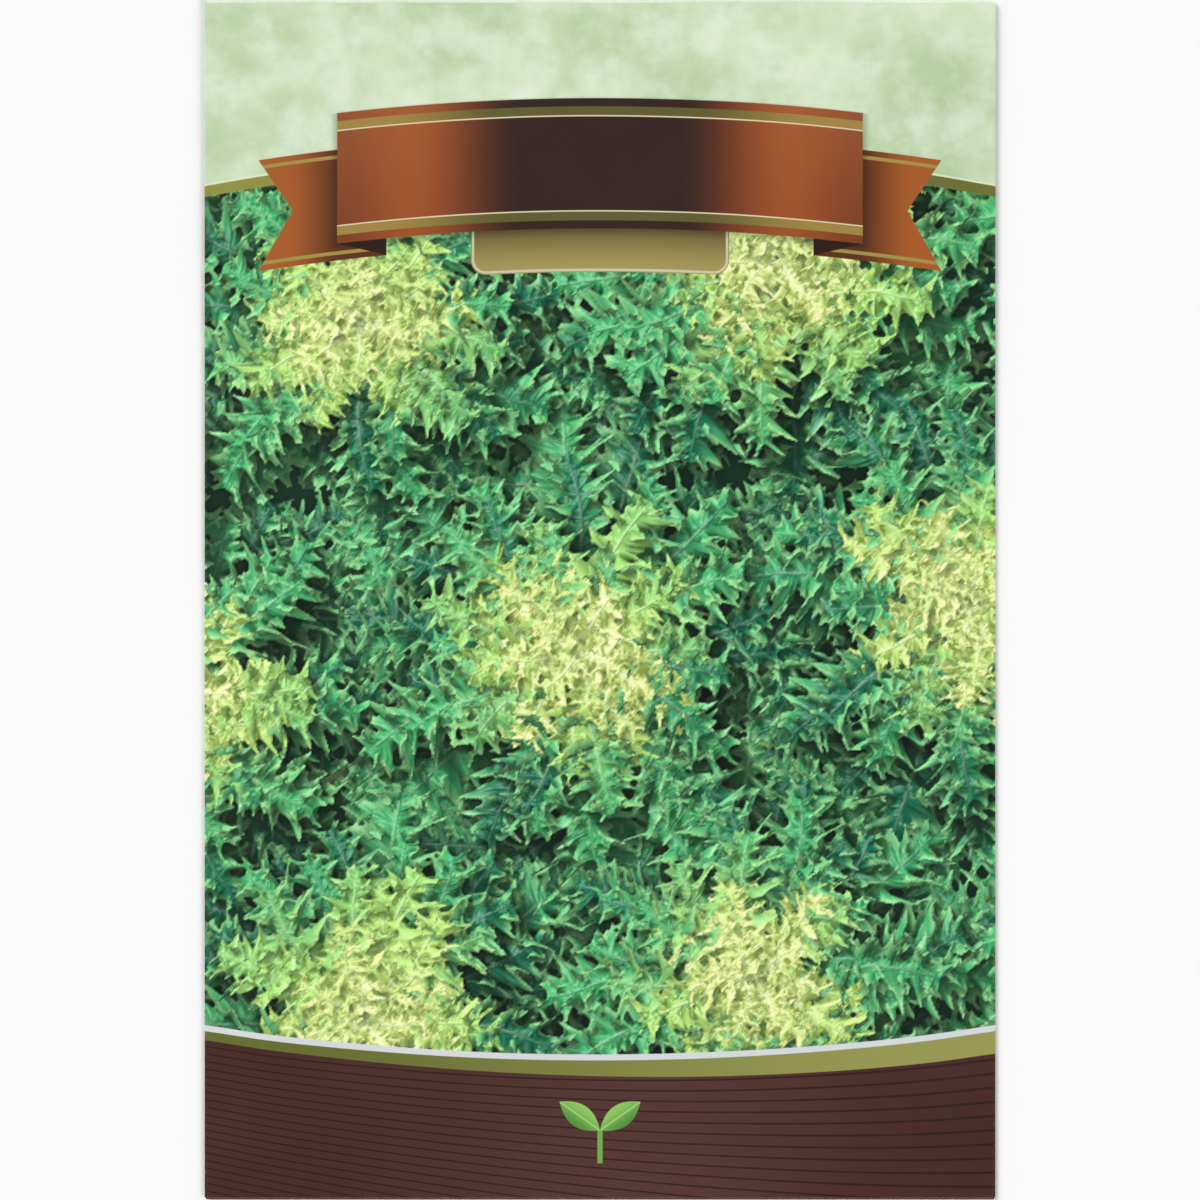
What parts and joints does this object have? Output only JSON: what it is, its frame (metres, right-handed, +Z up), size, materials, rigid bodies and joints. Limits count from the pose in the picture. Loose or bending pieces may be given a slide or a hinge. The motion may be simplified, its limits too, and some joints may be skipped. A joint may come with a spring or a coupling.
{
  "type": "seed packet",
  "caption": "Flat rectangular paper envelope, folded from a printed sheet and glued shut, slightly puffed over the loose garden seeds inside.",
  "frame": {"origin": "on the resting surface, under the middle of the packet", "axes": "+Z up out of the printed front face, +Y towards the packet's top edge, +X to the right of the front face"},
  "size_m": [0.08, 0.1214, 0.0029],
  "materials": {
    "printed_paper": "coated paper with a mostly green print, satin",
    "dried_glue": "clear dried paper glue",
    "seed_coat": "dry pale brown seed coat, matte"
  },
  "bodies": {
    "root": {"envelope": "printed_paper", "left_glue_line": "dried_glue", "right_glue_line": "dried_glue", "flap_glue_line": "dried_glue", "seeds": "seed_coat"}
  },
  "joints": []
}
